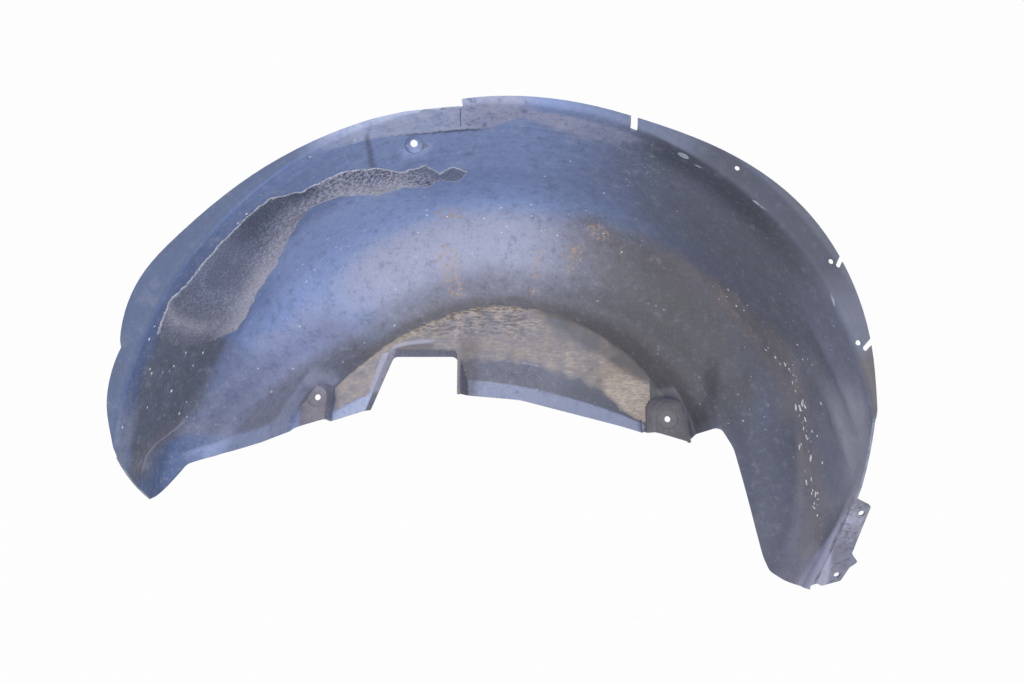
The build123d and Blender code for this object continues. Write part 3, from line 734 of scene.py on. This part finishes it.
def wall_from_front(x, z):
    """Place and normal on the wheel side of the wall, seen straight from the front."""
    start = from_arch(x, -200.0, z)
    found = wall_tree.ray_cast(start, Vector((0.0, 1.0, 0.0)))
    return found[0], found[1]


def along(points, place):
    """Height at a place on a line through a few (place, height) points, in falling or rising order."""
    for (first, low), (second, high) in zip(points, points[1:]):
        if min(first, second) <= place <= max(first, second):
            return low + (high - low) * (place - first) / (second - first)
    return None


def clamped(value, low=0.0, high=1.0):
    """The value, kept between two ends."""
    return max(low, min(high, value))


print("wall at the crown", wall_from_axis(0.0, 60.0)[0])

# %% [markdown]
# A dirt sheet starts as a fine grid. Points off its outline are deleted, and the rest is shaded smoothly
# and becomes a piece that rides on the liner.

# %% Dirt sheets as pieces
def cut_out(shape, off_sheet):
    """Deletes the points that are off a sheet, and the ones that they leave loose, and smooths the rest."""
    bmesh.ops.delete(shape, geom=off_sheet, context="VERTS")
    loose = [vert for vert in shape.verts if not vert.link_faces]
    bmesh.ops.delete(shape, geom=loose, context="VERTS")
    for face in shape.faces:
        face.smooth = True


def finished_piece(name, shape, finish):
    """Object with a finished mesh, riding on the liner."""
    mesh = bpy.data.meshes.new(name)
    shape.to_mesh(mesh)
    shape.free()
    mesh.materials.append(finish)
    piece = bpy.data.objects.new(name, mesh)
    scene.collection.objects.link(piece)
    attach(piece, "root")
    return piece


print("pieces ride on the root")

# %% [markdown]
# The tyre has rubbed a long patch on the left barrel: a coarse dark scar with a pale burr along its edge,
# and a tail that runs up to the crown. Its two sides are lines through a few points, each given as the way
# round and the depth, and a noise makes them wander as torn plastic does. Its foot is a soft bow.

# %% Outline of the rubbed scar
SCAR_START, SCAR_END = -72.0, -6.4
SCAR_UPPER = [
    (-72.0, 22.0), (-64.0, 13.0), (-58.0, 25.0), (-46.0, 26.0), (-41.0, 30.0), (-36.0, 53.0), (-28.0, 63.0),
    (-22.0, 84.0), (-19.0, 106.0), (-14.0, 107.0), (-11.8, 132.0), (-9.0, 121.0), (-6.4, 134.0),
]
SCAR_LOWER = [
    (-72.0, 142.0), (-60.0, 152.0), (-54.0, 141.0), (-48.0, 133.0), (-41.0, 101.0), (-37.0, 88.0),
    (-31.0, 102.0), (-25.0, 136.0), (-20.0, 141.0), (-15.0, 157.0), (-11.8, 147.0), (-9.0, 157.0),
    (-6.4, 142.0),
]


def foot_way(depth):
    """Way round at which the tyre stopped rubbing: lowest in the middle of the barrel."""
    return -66.4 + 3.5 * ((depth - 50.0) / 70.0) ** 2


def inside_scar(way, depth):
    """Millimetres from a point to the scar's sides and to its foot, below 0 outside them."""
    upper = along(SCAR_UPPER, way)
    lower = along(SCAR_LOWER, way)
    if upper is None or lower is None:
        return -1.0, -1.0
    spot = on_barrel(way, depth) * MM
    wander = noise.noise(spot / 13.0) * 3.2 + noise.noise(spot / 4.0) * 1.8
    foot = (way - foot_way(depth) + 3.6) * 6.4 + wander * 2.0
    return min(depth - upper, lower - depth) + wander, foot


def frayed_at(way, depth):
    """How much the plastic is torn into pale fibres: along the deep edge and across the scar's foot."""
    edge_share = max(0.0, 1.0 - ((along(SCAR_LOWER, way) or depth) - depth) / 40.0)
    lower_part = clamped((-38.0 - way) / 14.0)
    tail_part = clamped((way + 34.0) / 6.0) * clamped((-16.0 - way) / 3.0)
    uneven = 0.55 + 0.8 * noise.noise(on_barrel(way, depth) * 60.0)
    foot = max(0.0, 1.0 - abs(way - foot_way(depth)) / 2.0) * uneven * 0.6
    return min(1.0, max(edge_share * (lower_part + 0.7 * tail_part), foot))


print("middle of the scar is", round(inside_scar(-52.0, 85.0)[0], 1), "mm inside its outline")

# %% [markdown]
# The scar bends with the barrel, so its grid is a line across the barrel that is spun round the wheel axis.
# A plane bent by a modifier would do too, but the spin needs only the line, an angle and a count.

# %% Grid for the scar
SCAR_STEP = 1.7
SCAR_FROM, SCAR_TO = 8.0, 164.0
scar_turn = math.radians(SCAR_END - SCAR_START)
wheel_axis = from_arch(0.0, 0.0, 0.0)
shape = bmesh.new()
first = shape.verts.new(on_barrel(SCAR_START, SCAR_FROM))
last = shape.verts.new(on_barrel(SCAR_START, SCAR_TO))
line = shape.edges.new((first, last))
bmesh.ops.subdivide_edges(shape, edges=[line], cuts=int((SCAR_TO - SCAR_FROM) / SCAR_STEP))
bmesh.ops.spin(
    shape, geom=shape.verts[:] + shape.edges[:], cent=wheel_axis, axis=(0.0, 1.0, 0.0),
    angle=scar_turn, steps=int(scar_turn * ARCH_R / SCAR_STEP),
)
print("scar grid has", len(shape.verts), "points")

# %% [markdown]
# The grid is laid on the wall, and sunk into it outside the outline. Where it comes out of the wall its
# edge is smooth, while cutting whole faces off would leave steps. The mesh keeps how near each point is
# to the edges, for the finish to use.

# %% The rubbed scar
SCAR_SINK, SCAR_RISE, SCAR_SLOPE = -0.5, 0.55, 0.3
SCAR_MARGIN = -3.0
BURR_WIDE = 2.6
FOOT_LONG = 12.0
burr_layer = shape.verts.layers.float.new("burr")
frayed_layer = shape.verts.layers.float.new("frayed")
foot_layer = shape.verts.layers.float.new("foot")
across_layer = shape.verts.layers.float.new("across")
far_out = []
for vert in shape.verts:
    middle = vert.co - wheel_axis
    vert_way = math.degrees(math.atan2(middle.x, middle.z))
    vert_depth = middle.y * MM
    from_side, from_foot = inside_scar(vert_way, vert_depth)
    within = min(from_side, from_foot)
    spot, normal = wall_from_axis(vert_way, vert_depth)
    if within < SCAR_MARGIN or spot is None:
        far_out.append(vert)
        continue
    upper = along(SCAR_UPPER, vert_way) or 0.0
    lower = along(SCAR_LOWER, vert_way) or 1.0
    vert[burr_layer] = clamped(1.0 - from_side / BURR_WIDE)
    vert[foot_layer] = clamped(1.0 - from_foot / FOOT_LONG)
    vert[across_layer] = clamped((vert_depth - upper) / (lower - upper))
    vert[frayed_layer] = frayed_at(vert_way, vert_depth)
    pitted = noise.noise(vert.co * 150.0) * 0.12 + noise.noise(vert.co * 420.0) * 0.10
    rise = clamped(within * SCAR_SLOPE, SCAR_SINK, SCAR_RISE)
    vert.co = spot + normal * ((rise + pitted * (rise > 0.0)) / MM)
cut_out(shape, far_out)
bmesh.ops.recalc_face_normals(shape, faces=shape.faces)
shape.normal_update()
barrel_middle = from_arch(0.0, 85.0, 0.0)
tilt = sum(face.normal.dot(face.calc_center_median() - barrel_middle) for face in shape.faces)
if tilt > 0.0:
    bmesh.ops.reverse_faces(shape, faces=shape.faces)
print("rubbed scar has", len(shape.faces), "faces")

# %% [markdown]
# Scarred plastic scatters light: it is dark in its pits and nearly white on its torn fibres.
# The burr, frayed and foot numbers of the mesh bring pale fibres to the outline and a dull grey to the
# foot, and the number across the scar makes its deep side paler than the other.

# %% Finish of the scar
scarred, surface, spot = new_finish("scarred_plastic")
burr = spot.layer("burr")
frayed = spot.layer("frayed")
foot = spot.layer("foot")
across = spot.layer("across")
pits = spot.grain(260.0, 4.0, 0.7)
fibre = spot.grain(760.0, 2.0)
cloud = spot.grain(26.0, 5.0)
height = around_wheel(spot)[2]
tone = mixed(srgb(88, 97, 124), srgb(128, 135, 164), pits.rise(0.42, 0.58))
tone = mixed(tone, srgb(70, 77, 100), across.rise(0.7, 0.15) * height.rise(200.0, 250.0) * 0.8)
tone = mixed(tone, srgb(74, 80, 104), cloud.rise(0.54, 0.40) * height.rise(150.0, 200.0) * 0.8)
tail = height.rise(296.0, 318.0)
tone = mixed(tone, srgb(176, 180, 206), tail * pits.rise(0.42, 0.58) * 0.8)
lobes = height.rise(345.0, 351.0)
tone = mixed(tone, srgb(102, 112, 143), lobes * 0.85)
clumps = pits.rise(0.46, 0.60) * (0.45 + 0.55 * cloud.rise(0.36, 0.58))
tone = mixed(tone, srgb(130, 138, 166), height.rise(262.0, 225.0) * height.rise(165.0, 190.0) * 0.4)
deep_side = across.rise(0.34, 0.86) * height.rise(330.0, 300.0)
tone = mixed(tone, srgb(176, 176, 196), deep_side * (0.25 + 0.62 * clumps))
tone = mixed(tone, srgb(118, 120, 138), height.rise(190.0, 160.0) * 0.6)
tone = mixed(tone, srgb(100, 105, 121), foot * 0.85)
tone = mixed(tone, srgb(200, 198, 212), frayed * (0.45 + 0.55 * fibre.rise(0.36, 0.58)))
tone = mixed(tone, srgb(220, 223, 234), burr * fibre.rise(0.32, 0.52) * 0.9)
tone = mixed(tone, srgb(40, 43, 56), fibre.rise(0.46, 0.32) * 0.5)
tone = mixed(tone, srgb(206, 208, 220), fibre.rise(0.60, 0.72) * 0.55)
tone.feed(surface, "Base Color")
surface.inputs["Roughness"].default_value = 0.85
torn = pits + fibre * 0.6
torn.bump(0.3, 0.0006).feed(surface, "Normal")
scar = finished_piece("rubbed_scar", shape, scarred)
print("scar finished, with", len(scar.data.polygons), "faces")

# %% [markdown]
# Mud has dried on the flat land round the notch, in level flakes that the spray left one above the other.
# It ends at the roll above, on the slant below, and at the clean lips left of the notch.

# %% Where the mud ends
CLEAN_LIP = [(-240.0, 64.0), (-214.0, 82.0), (-190.0, 92.0), (-165.0, 104.0), (-150.0, 60.0), (210.0, 60.0)]
NOTCH_TOP = 154.0


def inside_mud(x, z, reach, vert_place):
    """Millimetres from a point to the mud's top edge, to its lower edge and to the clean lips."""
    wander = noise.noise(vert_place * 45.0) * 4.0 + noise.noise(vert_place * 150.0) * 2.4
    spill = noise.noise(vert_place * 70.0) * 4.0 + noise.noise(vert_place * 210.0) * 3.0
    from_top = reach - 292.0 + wander - 0.015 * max(0.0, x - 60.0)
    low_edge = 301.5 + 12.0 * clamped((x - 135.0) / 45.0)
    from_low = (low_edge - reach) * 1.6 + spill
    from_notch = abs(x + 161.5 + (143.0 - z) * 0.33) - 8.0
    if z > NOTCH_TOP:
        from_notch = 9.0
    clean = min(z - along(CLEAN_LIP, x) + wander, from_notch + wander * 0.6)
    return from_top, from_low, clean


print("clean lip under the mud at", along(CLEAN_LIP, -200.0), "mm")

# %% [markdown]
# The mud needs a flat grid, since the land is nearly flat. A new grid lies level, so it is scaled to the
# land's size, turned upright and moved to the land.

# %% Grid for the mud
MUD_STEP = 1.7
MUD_LEFT, MUD_RIGHT, MUD_LOW, MUD_TOP = -236.0, 206.0, 50.0, 236.0
mud_wide = MUD_RIGHT - MUD_LEFT
mud_tall = MUD_TOP - MUD_LOW
columns = int(mud_wide / MUD_STEP)
rows = int(mud_tall / MUD_STEP)
upright = Matrix.Rotation(math.radians(90.0), 3, "X")
middle = from_arch((MUD_LEFT + MUD_RIGHT) / 2.0, LAND_DEPTH, (MUD_LOW + MUD_TOP) / 2.0)
shape = bmesh.new()
bmesh.ops.create_grid(shape, x_segments=columns, y_segments=rows, size=0.5)
bmesh.ops.scale(shape, verts=shape.verts, vec=(mud_wide / MM, mud_tall / MM, 1.0))
bmesh.ops.rotate(shape, verts=shape.verts, cent=(0.0, 0.0, 0.0), matrix=upright)
bmesh.ops.translate(shape, verts=shape.verts, vec=middle)
print("mud grid has", len(shape.verts), "points")

# %% [markdown]
# Like the scar, the grid is laid on the wall, here in flat scales, and sunk where the mud ends.
# Points in front of a steep wall, such as the side of a screw pad, are left out, as mud falls off there.

# %% Dried mud on the land
MUD_SINK, MUD_RISE, MUD_SLOPE = -0.6, 0.35, 0.12
MUD_MARGIN = -4.0
FLAKE_RISE = 0.45
STEEP = -0.3
BORDER_WIDE = 9.0
THIN_WIDE = 11.0
border_layer = shape.verts.layers.float.new("border")
thin_layer = shape.verts.layers.float.new("thin")
off_mud = []
for vert in shape.verts:
    place_x = (vert.co.x - AXIS_X) * MM
    place_z = (vert.co.z - AXIS_Z) * MM
    spot, normal = wall_from_front(place_x, place_z)
    if spot is None or normal.y > STEEP:
        off_mud.append(vert)
        continue
    from_top, from_low, clean = inside_mud(place_x, place_z, (spot.y - RIM_Y) * MM, vert.co)
    within = min(from_top, from_low, clean)
    vert[border_layer] = clamped(1.0 - from_top / BORDER_WIDE)
    vert[thin_layer] = clamped(1.0 - from_low / THIN_WIDE)
    if within < MUD_MARGIN:
        off_mud.append(vert)
        continue
    scale_spot = Vector((place_x / 9.0, place_z / 2.6, 3.0))
    flakes = 0.5 + 0.5 * noise.noise(scale_spot) + 0.35 * noise.noise(scale_spot * 2.3)
    rise = clamped(within * MUD_SLOPE, MUD_SINK, MUD_RISE)
    vert.co = spot + normal * ((rise + FLAKE_RISE * max(0.0, flakes) * (rise > 0.0)) / MM)
cut_out(shape, off_mud)
shape.normal_update()
if sum(face.normal.y for face in shape.faces) > 0.0:
    bmesh.ops.reverse_faces(shape, faces=shape.faces)
print("dried mud has", len(shape.faces), "faces")

# %% [markdown]
# Dried mud is a dull grey brown with flakes that catch the light. A noise squeezed from above gives level
# flakes, strongest at the top left. Painted shade darkens the mud under the roll, the mud thins out on the
# slant below, a pale ridge runs over the notch, and water has stained it beside the notch.

# %% Finish of the mud
mud, surface, spot = new_finish("dried_mud")
mud_x, _, mud_z = around_wheel(spot)
level = spot.add("ShaderNodeMapping", {}, {"Vector": spot, "Scale": (110.0, 240.0, 420.0)})
flake = level.grain(1.0, 4.0, 0.65)
grit_noise = spot.grain(520.0, 3.0, 0.7)
cloud = spot.grain(24.0, 4.0, 0.5)
tone = mixed(srgb(164, 153, 147), srgb(190, 179, 171), flake.rise(0.38, 0.62))
tone = mixed(tone, srgb(162, 150, 137), cloud.rise(0.42, 0.66) * 0.6)
tone = mixed(tone, srgb(196, 188, 186), mud_x.rise(-150.0, -176.0) * 0.45)
top_left = mud_z.rise(168.0, 190.0) * mud_x.rise(70.0, 20.0)
tone = mixed(tone, srgb(88, 82, 82), top_left * flake.rise(0.52, 0.42) * 0.7)
tone = mixed(tone, srgb(202, 192, 186), top_left * flake.rise(0.54, 0.63) * 0.7)
tone = mixed(tone, srgb(104, 98, 100), grit_noise.rise(0.45, 0.30) * 0.65)
tone = mixed(tone, srgb(190, 182, 178), grit_noise.rise(0.62, 0.74) * 0.5)
# Painted shade on the mud under the roll, along its top edge and at the top right.
right_top = (mud_z + mud_x * 0.62).rise(224.0, 250.0) * mud_x.rise(20.0, 90.0)
shade_under_roll = (spot.layer("border") * 0.45 + right_top).rise(0.0, 1.0)
tone = mixed(tone, srgb(98, 96, 101), shade_under_roll * (0.72 + 0.2 * cloud.rise(0.36, 0.6)))
thin_tone = mixed(srgb(122, 124, 141), srgb(108, 108, 119), mud_x.rise(90.0, 150.0))
tone = mixed(tone, thin_tone, spot.layer("thin") * mud_x.rise(204.0, 150.0) * 0.95)
ridge_line = mud_x.curve([
    (-164.0, 140.0), (-156.0, 154.0), (-148.0, 163.0), (-127.0, 168.0), (-100.0, 170.5), (-80.0, 171.0),
])
under_ridge = ridge_line - mud_z
ridge_span = mud_x.rise(-164.0, -158.0) * mud_x.rise(-86.0, -104.0)
tone = mixed(tone, srgb(112, 109, 114), under_ridge.rise(1.0, 4.0) * ridge_span * 0.7)
tone = mixed(tone, srgb(176, 179, 202), under_ridge.size().rise(4.4, 0.8) * ridge_span * 0.7)
wet_stain = (mud_x + 46.0).size().rise(22.0, 4.0) * mud_z.rise(190.0, 154.0)
tone = mixed(tone, srgb(98, 94, 97), wet_stain * 0.5)
tone.feed(surface, "Base Color")
surface.inputs["Roughness"].default_value = 0.92
crumble = flake + grit_noise * 0.6
crumble.bump(0.45, 0.001).feed(surface, "Normal")
land_mud = finished_piece("land_mud", shape, mud)
print("mud finished, with", len(land_mud.data.polygons), "faces")

# %% [markdown]
# Stones have chipped the plastic white, mostly in a line down the leg and over the left barrel.
# Each chip is a flattened ball of a few faces. A seeded draw scatters them over a few fields,
# so every run gives the same chips.

# %% Stone chips
CHIP_FIELDS = [
    # way from, way to, depth from, depth to, lean of the depth, count, length, width
    (70.0, 96.0, 114.0, 152.0, 0.0, 40, 3.3, 1.3),
    (50.0, 70.0, 150.0, 190.0, -1.0, 10, 1.7, 0.9),
    (94.0, 103.0, 96.0, 126.0, -1.0, 20, 1.3, 0.8),
    (66.0, 100.0, 60.0, 120.0, 0.0, 12, 1.4, 0.7),
    (-84.0, -50.0, 25.0, 130.0, 0.0, 24, 1.6, 0.9),
    (-48.0, -26.0, 148.0, 225.0, 0.0, 26, 1.2, 0.8),
    (-20.0, 34.0, 190.0, 262.0, 0.0, 26, 1.2, 0.7),
    (20.0, 60.0, 60.0, 200.0, 0.0, 12, 1.1, 0.7),
    (-88.0, -30.0, -1.0, 24.0, 0.0, 14, 1.2, 0.7),
]
CHIP_THICK = 0.35
CHIP_LIFT = 0.0001
draw = random.Random(7)
shape = bmesh.new()
chips = 0
for way_from, way_to, depth_from, depth_to, lean, count, length, width in CHIP_FIELDS:
    for _ in range(count):
        chip_way = draw.uniform(way_from, way_to)
        share = (chip_way - way_from) / (way_to - way_from) - 0.5
        chip_depth = draw.triangular(depth_from, depth_to) + lean * share * (depth_to - depth_from)
        spot, normal = wall_from_axis(chip_way, chip_depth)
        if spot is None:
            continue
        across = normal.cross(Vector((0.0, 1.0, 0.0))).normalized()
        along_depth = normal.cross(across)
        on_wall = Matrix((across, along_depth, normal)).transposed().to_4x4()
        scale = (0.35 + 1.3 * draw.random() ** 2.2) / MM
        size = Matrix.Diagonal((length * scale, width * scale, CHIP_THICK * scale, 1.0))
        turn = Matrix.Rotation(draw.uniform(-0.5, 0.5), 4, "Z")
        place_chip = Matrix.Translation(spot + normal * CHIP_LIFT) @ on_wall @ turn @ size
        bmesh.ops.create_icosphere(shape, subdivisions=1, radius=1.0, matrix=place_chip)
        chips += 1
chipped = clouded("chipped_plastic", srgb(196, 198, 208), srgb(232, 233, 238), 300.0, 0.6)
stone_chips = finished_piece("stone_chips", shape, chipped)
print("stone chips", chips, "with", len(stone_chips.data.polygons), "faces")
